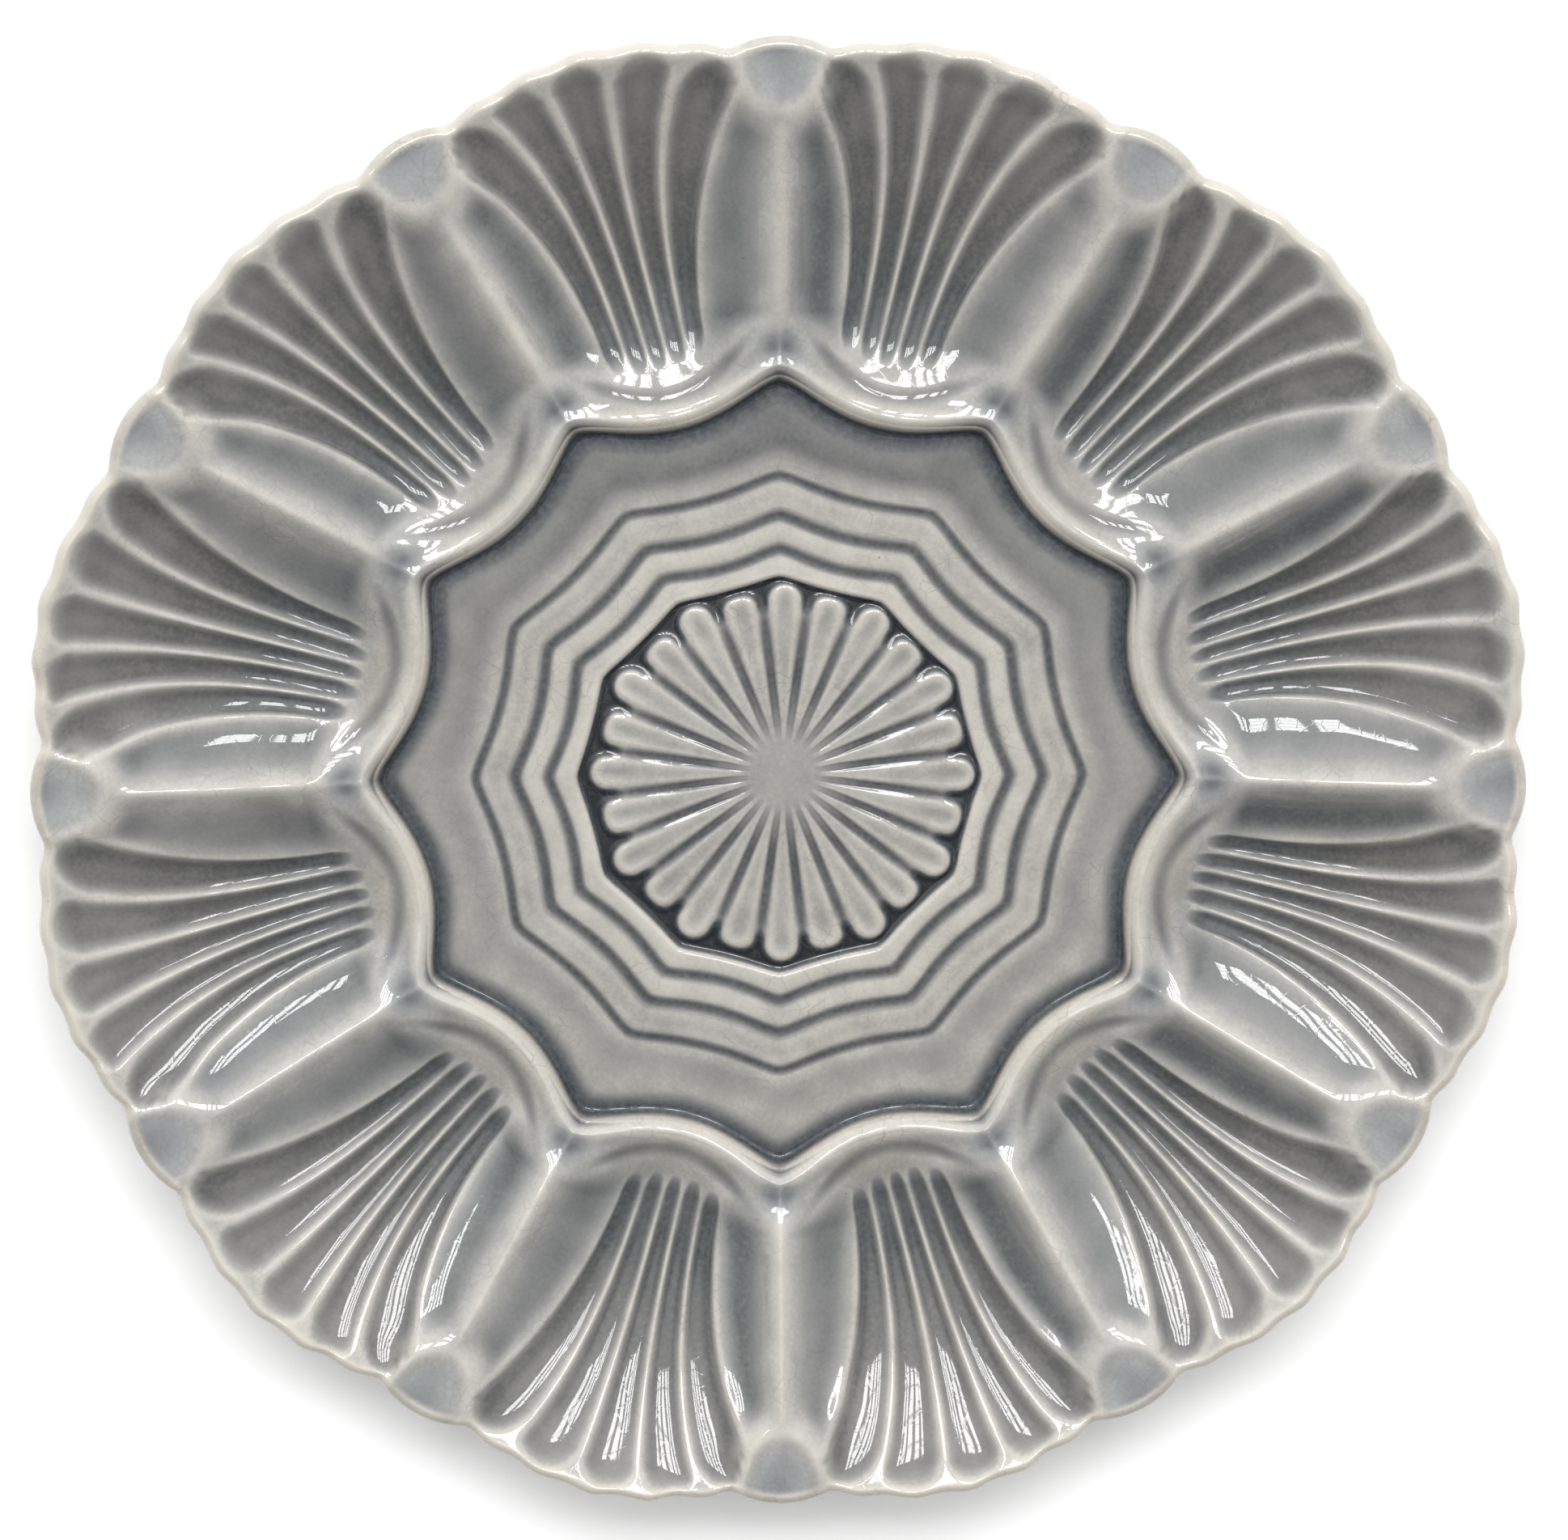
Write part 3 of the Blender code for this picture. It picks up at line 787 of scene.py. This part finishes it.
def grid_mesh(name, x, y, z):
    """A closed mesh from rows of rings, with a vertex in the middle of the first and the last ring."""
    rows, columns = x.shape
    points = np.stack([x, y, z], axis=-1).reshape(-1, 3)
    ends = [points[:columns].mean(axis=0), points[-columns:].mean(axis=0)]
    points = np.concatenate([points, ends]) * MM
    index = np.arange(rows * columns).reshape(rows, columns)
    beside = np.roll(index, -1, axis=1)
    quads = np.stack([index[:-1], beside[:-1], beside[1:], index[1:]], axis=-1).reshape(-1)
    first = np.stack([np.full(columns, rows * columns), beside[0], index[0]], axis=-1).reshape(-1)
    last = np.stack([np.full(columns, rows * columns + 1), index[-1], beside[-1]], axis=-1).reshape(-1)
    corners = np.concatenate([quads, first, last]).astype(np.int32)
    quad_count = (rows - 1) * columns
    sizes = np.concatenate([np.full(quad_count, 4), np.full(2 * columns, 3)])
    starts = np.concatenate([[0], np.cumsum(sizes)[:-1]]).astype(np.int32)
    mesh = bpy.data.meshes.new(name)
    mesh.vertices.add(len(points))
    mesh.vertices.foreach_set("co", points.astype(np.float32).reshape(-1))
    mesh.loops.add(len(corners))
    mesh.loops.foreach_set("vertex_index", corners)
    mesh.polygons.add(len(sizes))
    mesh.polygons.foreach_set("loop_start", starts)
    mesh.update(calc_edges=True)
    mesh.validate()
    mesh.shade_smooth()
    return mesh


def add_attribute(mesh, name, values):
    attribute = mesh.attributes.new(name, "FLOAT", "POINT")
    attribute.data.foreach_set("value", values.astype(np.float32))


def add_bake_map(mesh, x, y, z, split):
    """Lays the rows before the split and the rows from it as two discs, true to length along a column."""
    columns = x.shape[1]
    squares = [np.diff(part, axis=0) ** 2 for part in (x, y, z)]
    steps = np.sqrt(sum(squares)).mean(axis=1)
    reach = np.concatenate([[0.0], np.cumsum(steps)])
    turn = np.arctan2(x, y)
    face = reach / reach[split]
    back = (reach[-1] - reach) / (reach[-1] - reach[split])
    discs = []
    places = ((face, FACE_MAP_MIDDLE, FACE_MAP_SIZE), (back, BACK_MAP_MIDDLE, BACK_MAP_SIZE))
    for share, middle, size in places:
        u = middle + size * share[:, None] * np.sin(turn)
        v = middle + size * share[:, None] * np.cos(turn)
        points = np.stack([u, v], axis=-1).reshape(-1, 2)
        discs.append(np.concatenate([points, [(middle, middle), (middle, middle)]]))
    corners = np.empty(len(mesh.loops), dtype=np.int32)
    mesh.loops.foreach_get("vertex_index", corners)
    starts = np.empty(len(mesh.polygons), dtype=np.int32)
    mesh.polygons.foreach_get("loop_start", starts)
    sizes = np.empty(len(mesh.polygons), dtype=np.int32)
    mesh.polygons.foreach_get("loop_total", sizes)
    lowest = np.minimum.reduceat(corners, starts)
    on_face = lowest < split * columns
    on_face[-2 * columns:-columns] = True
    on_face = np.repeat(on_face, sizes)[:, None]
    corner_places = np.where(on_face, discs[0][corners], discs[1][corners])
    layer = mesh.uv_layers.new(name="OFBake")
    layer.data.foreach_set("uv", corner_places.astype(np.float32).reshape(-1))


def add_object(name, mesh, look):
    mesh.materials.append(look)
    piece = bpy.data.objects.new(name, mesh)
    bpy.context.scene.collection.objects.link(piece)
    return piece


def tint_field(radius, local):
    """0 where the glaze looks warm and 1 where it looks blue."""
    in_channel = np.clip(channel_depth(radius, local) / CHANNEL_DEPTH, 0.0, 1.0)
    tint = TINT_SHELL - TINT_CHANNEL * in_channel * eased(radius, TINT_CHANNEL_SPAN)
    in_palm = (1.0 - eased(np.abs(local), TINT_PALM_SIDES)) * (1.0 - eased(radius, TINT_PALM_END))
    tint = tint * (1.0 - TINT_PALM * in_palm)
    on_lug = 1.0 - eased(lug_shield(radius, local), TINT_LUG_SPAN)
    tint = tint + (TINT_DIMPLE - tint) * np.maximum(np.sqrt(dimple(radius, local)), on_lug)
    past_foot = radius - step_foot(local)
    tint = np.where(past_foot < 0.0, TINT_FLOOR, tint)
    in_trench = np.exp(-((past_foot - TINT_TRENCH[0]) / TINT_TRENCH[1]) ** 2)
    on_step = np.exp(-((past_foot - TINT_STEP[0]) / TINT_STEP[1]) ** 2)
    tint = tint * (1.0 - on_step) + (1.0 - tint) * in_trench
    return tint * (1.0 - near_rim(radius, local))


def glazed_dish(look):
    """The dish's face, rim and back, with pooled glaze depth plus painted shade and the tint on each
    vertex.
    """
    radius, angle, height, face_rows = dish_grid()
    turn = np.radians(angle)
    x = radius * np.sin(turn)
    y = radius * np.cos(turn)
    z = height + FLOOR_Z
    mesh = grid_mesh("glazed_dish", x, y, z)
    add_bake_map(mesh, x, y, z, face_rows + MAP_SPLIT_ROW)
    field = pooling_field(RASTER_CELL, RASTER_EXTENT)
    pool = sampled(field, x, y, RASTER_CELL, RASTER_EXTENT)
    rim_pool = pool[face_rows - 1]
    to_back = ramp((np.arange(len(pool)) - face_rows) / BACK_POOL_ROWS)[:, None]
    pool = np.where(to_back > 0.0, rim_pool + (BACK_POOL - rim_pool) * to_back, pool)
    tint_share = TINT_THIN + (1.0 - TINT_THIN) * eased(pool, TINT_POOL_SPAN)
    tint = tint_field(radius, local_angle(angle)) * tint_share
    for name, values in (("pool", pool), ("tint", tint)):
        add_attribute(mesh, name, np.concatenate([values.reshape(-1), values[0, :1], values[-1, :1]]))
    return add_object("glazed_dish", mesh, look)


def rounded_loop(points, times=3):
    """A closed outline with its corners cut back again and again until they are round."""
    loop = np.array(points, dtype=float)
    for _ in range(times):
        after = np.roll(loop, -1, axis=0)
        near = 0.75 * loop + 0.25 * after
        far = 0.25 * loop + 0.75 * after
        loop = np.stack([near, far], axis=1).reshape(-1, 2)
    return loop


def turned_ring(name, outline_points, look):
    """A closed ring turned from a closed outline of (radius, height) points, and a little out of round."""
    loop = rounded_loop(outline_points)
    count = len(loop)
    turn = np.linspace(0.0, 2 * np.pi, TURNED_COLUMNS, endpoint=False)
    radius = loop[:, :1] + sum(size * np.sin(waves * turn + start) for size, waves, start in RING_WAVES)
    height = np.repeat(loop[:, 1:], TURNED_COLUMNS, axis=1)
    points = np.stack([radius * np.sin(turn), radius * np.cos(turn), height], axis=-1).reshape(-1, 3) * MM
    index = np.arange(count * TURNED_COLUMNS).reshape(count, TURNED_COLUMNS)
    beside = np.roll(index, -1, axis=1)
    below = np.roll(index, -1, axis=0)
    quads = np.stack([index, beside, np.roll(beside, -1, axis=0), below], axis=-1).reshape(-1, 4)
    mesh = bpy.data.meshes.new(name)
    mesh.from_pydata(points.tolist(), [], quads.tolist())
    mesh.shade_smooth()
    return add_object(name, mesh, look)


def turned_disc(name, profile, look):
    """A closed disc turned from a profile of (radius, height) points that runs from its top to its base."""
    turn = np.linspace(0.0, 2 * np.pi, TURNED_COLUMNS, endpoint=False)
    radius = np.array([point[0] for point in profile])[:, None]
    height = np.array([point[1] for point in profile])[:, None]
    sag = DISC_SAG * np.sin(2 * turn + 0.4) * radius / FOOT_INNER
    mesh = grid_mesh(name, radius * np.sin(turn), radius * np.cos(turn), height + sag)
    add_attribute(mesh, "pool", np.full(len(mesh.vertices), BACK_POOL))
    add_attribute(mesh, "tint", np.full(len(mesh.vertices), TINT_BACK))
    return add_object(name, mesh, look)


def foot_ring(look):
    """The foot ring: flat base, slightly flared sides and the fillet of slip that joins it to the dish."""
    side = ((-1.6, SEAT_Z), (0.3, 4.6), (0.7, 2.0), (1.2, 0.0), (3.0, 0.0))
    inner = [(FOOT_INNER + inset, height) for inset, height in side]
    outer = [(FOOT_OUTER - inset, height) for inset, height in reversed(side)]
    return turned_ring("foot_ring_turned", inner + outer, look)


def foot_glaze_disc(look):
    """The glaze inside the foot ring, a thin disc with a round edge."""
    top = SEAT_Z - DISC_TOP
    base = SEAT_Z - DISC_BASE
    size = FOOT_INNER - DISC_INSET
    profile = [(share * size, top) for share in DISC_RINGS]
    for step in range(9):
        bend = math.pi * step / 8
        edge_radius = size - DISC_ROUND + DISC_ROUND * math.sin(bend)
        edge_height = (top + base) / 2 + (top - base) / 2 * math.cos(bend)
        profile.append((edge_radius, edge_height))
    profile += [(share * size, base) for share in reversed(DISC_RINGS)]
    return turned_disc("foot_glaze_disc", profile, look)


class Look:
    """A material under construction, with short ways to add and join nodes."""

    def __init__(self, name):
        self.material = bpy.data.materials.new(name)
        self.material.use_nodes = True
        self.tree = self.material.node_tree
        self.shader = self.tree.nodes["Principled BSDF"]
        self.place = self.node("ShaderNodeTexCoord").outputs["Object"]

    def node(self, kind, **settings):
        made = self.tree.nodes.new(kind)
        for name, value in settings.items():
            setattr(made, name, value)
        return made

    def feed(self, socket, value):
        """Joins another node's output to an input, or sets the input to a number or colour."""
        if isinstance(value, bpy.types.NodeSocket):
            self.tree.links.new(value, socket)
        else:
            socket.default_value = value

    def attribute(self, name):
        return self.node("ShaderNodeAttribute", attribute_name=name).outputs["Fac"]

    def noise(self, size, detail=2.0):
        """Noise from 0 to 1 whose features are about this size in metres."""
        made = self.node("ShaderNodeTexNoise")
        self.feed(made.inputs["Vector"], self.place)
        made.inputs["Scale"].default_value = 1.0 / size
        made.inputs["Detail"].default_value = detail
        return made.outputs["Fac"]

    def maths(self, operation, first, second):
        made = self.node("ShaderNodeMath", operation=operation)
        self.feed(made.inputs[0], first)
        self.feed(made.inputs[1], second)
        return made.outputs["Value"]

    def spread(self, value, low, high, new_low, new_high):
        """The value moved from one range to another and kept inside it."""
        made = self.node("ShaderNodeMapRange")
        names = ("Value", "From Min", "From Max", "To Min", "To Max")
        for name, part in zip(names, (value, low, high, new_low, new_high)):
            self.feed(made.inputs[name], part)
        return made.outputs["Result"]

    def mix(self, share, first, second, blend="MIX"):
        made = self.node("ShaderNodeMix", data_type="RGBA", blend_type=blend)
        self.feed(made.inputs["Factor"], share)
        self.feed(made.inputs["A"], first)
        self.feed(made.inputs["B"], second)
        return made.outputs["Result"]

    def ramp(self, value, low, high, stops):
        """Colour for a value, from stops given at values between low and high."""
        made = self.node("ShaderNodeValToRGB")
        self.feed(made.inputs["Fac"], self.spread(value, low, high, 0.0, 1.0))
        elements = made.color_ramp.elements
        while len(elements) < len(stops):
            elements.new(0.5)
        for element, (place, colour) in zip(elements, stops):
            element.position = (place - low) / (high - low)
            element.color = (*colour, 1.0)
        return made.outputs["Color"]

    def cracks(self, size, width):
        """1 on the fine lines of a crackle whose plates have about this size, and 0 elsewhere."""
        bent = self.node("ShaderNodeMix", data_type="VECTOR")
        wobble = self.node("ShaderNodeTexNoise")
        self.feed(wobble.inputs["Vector"], self.place)
        wobble.inputs["Scale"].default_value = CRACK_WOBBLE / size
        bent.inputs["Factor"].default_value = CRACK_WOBBLE * size
        self.feed(bent.inputs["A"], self.place)
        self.feed(bent.inputs["B"], wobble.outputs["Color"])
        plates = self.node("ShaderNodeTexVoronoi", feature="DISTANCE_TO_EDGE")
        self.feed(plates.inputs["Vector"], bent.outputs["Result"])
        plates.inputs["Scale"].default_value = 1.0 / size
        return self.spread(plates.outputs["Distance"], 0.0, width / size, 1.0, 0.0)

    def specks(self, size, share):
        """1 on small round specks, about one to each patch of this size, and 0 elsewhere."""
        dots = self.node("ShaderNodeTexVoronoi", feature="F1")
        self.feed(dots.inputs["Vector"], self.place)
        dots.inputs["Scale"].default_value = 1.0 / size
        return self.spread(dots.outputs["Distance"], SPECK_CORE * share, share, 1.0, 0.0)

    def bump(self, height, distance, under=None):
        made = self.node("ShaderNodeBump")
        made.inputs["Strength"].default_value = 1.0
        made.inputs["Distance"].default_value = distance
        self.feed(made.inputs["Height"], height)
        if under is not None:
            self.feed(made.inputs["Normal"], under)
        return made.outputs["Normal"]


def glaze_material():
    """Clear grey-blue glaze: cream where thin, dark where it pools, finely crackled, a little speckled."""
    look = Look("grey_glaze")
    uneven = look.spread(look.noise(0.009, 3.0), 0.25, 0.75, -0.05, 0.05)
    grain = look.spread(look.noise(0.0011, 2.0), 0.25, 0.75, -0.03, 0.03)
    # The pool attribute is the pooled glaze's depth with the floor's painted shade added to it.
    pool_and_shade = look.attribute("pool")
    in_pool = look.spread(pool_and_shade, 0.25, 0.9, 0.0, 1.0)
    cloud = look.spread(look.noise(0.0013, 1.0), 0.3, 0.7, -0.22, 0.22)
    speckle = look.maths("MULTIPLY", in_pool, cloud)
    pool = look.maths("ADD", look.maths("ADD", pool_and_shade, speckle), look.maths("ADD", uneven, grain))
    body = look.ramp(pool, *POOL_RANGE, GLAZE_COLOURS)
    warm_or_blue = look.mix(look.attribute("tint"), WARM, BLUE)
    body = look.mix(1.0, body, warm_or_blue, "MULTIPLY")
    drift = look.mix(look.noise(0.045), DRIFT_COOL, DRIFT_WARM)
    body = look.mix(1.0, body, drift, "MULTIPLY")
    line = look.cracks(CRACK_PLATE, CRACK_WIDTH)
    line_patches = look.spread(look.noise(0.016), 0.45, 0.7, 0.0, 0.35)
    body = look.mix(look.maths("MULTIPLY", line, line_patches), body, CRACK_COLOUR)
    speck_patches = look.spread(look.noise(0.02), 0.5, 0.6, 0.0, 0.7)
    dots = look.maths("MULTIPLY", look.specks(SPECK_PATCH, SPECK_SHARE), speck_patches)
    body = look.mix(dots, body, SPECK_COLOUR)
    look.feed(look.shader.inputs["Base Color"], body)
    rough = look.spread(look.noise(0.006, 3.0), 0.3, 0.7, 0.03, 0.06)
    look.feed(look.shader.inputs["Roughness"], rough)
    look.shader.inputs["IOR"].default_value = GLAZE_IOR
    ripple = look.bump(look.noise(RIPPLE_LENGTH, 0.0), RIPPLE_BUMP)
    peel = look.bump(look.noise(PEEL_LENGTH, 0.0), PEEL_BUMP, ripple)
    look.feed(look.shader.inputs["Normal"], look.bump(line, CRACK_BUMP, peel))
    return look.material


def clay_material():
    """The foot ring: buff clay, bare and worn on the base, under thin glaze on the sides."""
    look = Look("bare_earthenware")
    height = look.node("ShaderNodeSeparateXYZ")
    look.feed(height.inputs["Vector"], look.place)
    waver = look.spread(look.noise(0.005, 3.0), 0.3, 0.7, -0.0006, 0.0006)
    edge = look.maths("ADD", height.outputs["Z"], waver)
    glazed = look.spread(edge, 0.0012, 0.0016, 0.0, 1.0)
    clay = look.mix(look.noise(0.0012, 4.0), CLAY_DARK, CLAY_LIGHT)
    stain = look.spread(look.noise(0.018, 3.0), 0.5, 0.75, 0.0, 0.55)
    clay = look.mix(stain, clay, CLAY_STAIN)
    cover = look.mix(look.noise(0.008, 3.0), FOOT_COVER_DARK, FOOT_COVER_LIGHT)
    look.feed(look.shader.inputs["Base Color"], look.mix(glazed, clay, cover))
    rough = look.spread(look.noise(0.002, 2.0), 0.3, 0.7, 0.72, 0.92)
    look.feed(look.shader.inputs["Roughness"], look.spread(glazed, 0.0, 1.0, rough, FOOT_COVER_ROUGHNESS))
    pits = look.bump(look.noise(0.0009, 4.0), 0.00012)
    look.feed(look.shader.inputs["Normal"], look.bump(look.noise(0.006, 2.0), 0.0003, pits))
    return look.material


def floor_stage():
    size = STUDIO_FLOOR_HALF
    corners = [(-size, -size, 0.0), (size, -size, 0.0), (size, size, 0.0), (-size, size, 0.0)]
    mesh = bpy.data.meshes.new("studio_floor")
    mesh.from_pydata(corners, [], [(0, 1, 2, 3)])
    look = bpy.data.materials.new("studio_floor")
    look.use_nodes = True
    shader = look.node_tree.nodes["Principled BSDF"]
    shader.inputs["Base Color"].default_value = (0.97, 0.97, 0.97, 1.0)
    shader.inputs["Roughness"].default_value = 0.9
    add_object("studio_floor", mesh, look)


def area_light(name, place, aim, size, radiance):
    light = bpy.data.lights.new(name, "AREA")
    light.shape = "RECTANGLE"
    light.size, light.size_y = size
    light.energy = radiance * size[0] * size[1] * math.pi
    lamp = bpy.data.objects.new(name, light)
    lamp.location = place
    lamp.rotation_euler = (Vector(aim) - Vector(place)).to_track_quat("-Z", "Y").to_euler()
    bpy.context.scene.collection.objects.link(lamp)


def studio_light():
    """A soft dome, brighter toward +Y, and a window on that side with a glow round its panes."""
    world = bpy.data.worlds.new("soft_studio")
    bpy.context.scene.world = world
    world.use_nodes = True
    nodes = world.node_tree.nodes
    links = world.node_tree.links
    tilt = math.radians(WINDOW_TILT)
    toward = Vector((0.0, math.sin(tilt), math.cos(tilt)))
    direction = nodes.new("ShaderNodeTexCoord").outputs["Generated"]
    parts = nodes.new("ShaderNodeSeparateXYZ")
    links.new(direction, parts.inputs["Vector"])
    height = nodes.new("ShaderNodeMapRange")
    height.inputs["To Min"].default_value = DOME_HORIZON
    height.inputs["To Max"].default_value = DOME_TOP
    links.new(parts.outputs["Z"], height.inputs["Value"])
    slant = nodes.new("ShaderNodeMath")
    slant.operation = "MULTIPLY_ADD"
    links.new(parts.outputs["Y"], slant.inputs[0])
    slant.inputs[1].default_value = DOME_SLANT
    slant.inputs[2].default_value = 1.0
    to_window = nodes.new("ShaderNodeVectorMath")
    to_window.operation = "DOT_PRODUCT"
    links.new(direction, to_window.inputs[0])
    to_window.inputs[1].default_value = toward
    glow = nodes.new("ShaderNodeMapRange")
    glow.interpolation_type = "SMOOTHSTEP"
    glow.inputs["From Min"].default_value = math.cos(math.radians(GLOW_EDGE))
    glow.inputs["From Max"].default_value = math.cos(math.radians(GLOW_CORE))
    glow.inputs["To Max"].default_value = GLOW
    links.new(to_window.outputs["Value"], glow.inputs["Value"])
    brightness = nodes.new("ShaderNodeMath")
    brightness.operation = "MULTIPLY_ADD"
    links.new(height.outputs["Result"], brightness.inputs[0])
    links.new(slant.outputs["Value"], brightness.inputs[1])
    links.new(glow.outputs["Result"], brightness.inputs[2])
    backdrop = nodes["Background"]
    links.new(brightness.outputs["Value"], backdrop.inputs["Strength"])
    backdrop.inputs["Color"].default_value = (1.0, 1.0, 1.0, 1.0)
    across = Vector((1.0, 0.0, 0.0))
    upward = toward.cross(across)
    for column in PANE_COLUMNS:
        for row in PANE_ROWS:
            shift = across * column * PANE_PITCH[0] + upward * row * PANE_PITCH[1]
            area_light("window_pane", toward * WINDOW_DISTANCE + shift, shift, PANE_SIZE, PANE_RADIANCE)


def camera():
    """The photograph's camera: nearly above the dish, a little to its +Y side, with +Y up in the image."""
    tilt = math.radians(CAMERA_TILT)
    swing = math.radians(CAMERA_SWING)
    back = Vector((math.sin(tilt) * math.sin(swing), math.sin(tilt) * math.cos(swing), math.cos(tilt)))
    right = (-back).cross(Vector((0.0, 1.0, 0.0))).normalized()
    up = right.cross(-back)
    aim = Vector((0.0, 0.0, FLOOR_Z * MM)) + CAMERA_SHIFT[0] * right + CAMERA_SHIFT[1] * up
    place = aim + CAMERA_DISTANCE * back
    eye = bpy.data.cameras.new("photo_camera")
    eye.sensor_width = CAMERA_SENSOR
    eye.lens = CAMERA_LENS
    item = bpy.data.objects.new("photo_camera", eye)
    item.matrix_world = Matrix((
        (right.x, up.x, back.x, place.x),
        (right.y, up.y, back.y, place.y),
        (right.z, up.z, back.z, place.z),
        (0.0, 0.0, 0.0, 1.0),
    ))
    bpy.context.scene.collection.objects.link(item)
    bpy.context.scene.camera = item


def main():
    glaze = glaze_material()
    clay = clay_material()
    pieces = (
        (glazed_dish(glaze), ("dish_body", "glaze_coat"), "grey_glaze"),
        (foot_glaze_disc(glaze), ("foot_glaze",), "grey_glaze"),
        (foot_ring(clay), ("foot_ring",), "bare_earthenware"),
    )
    for piece, nodes, slot in pieces:
        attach(piece, "root")
        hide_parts(*nodes)
    floor_stage()
    studio_light()
    camera()
    bpy.context.scene.view_settings.view_transform = "Standard"


main()
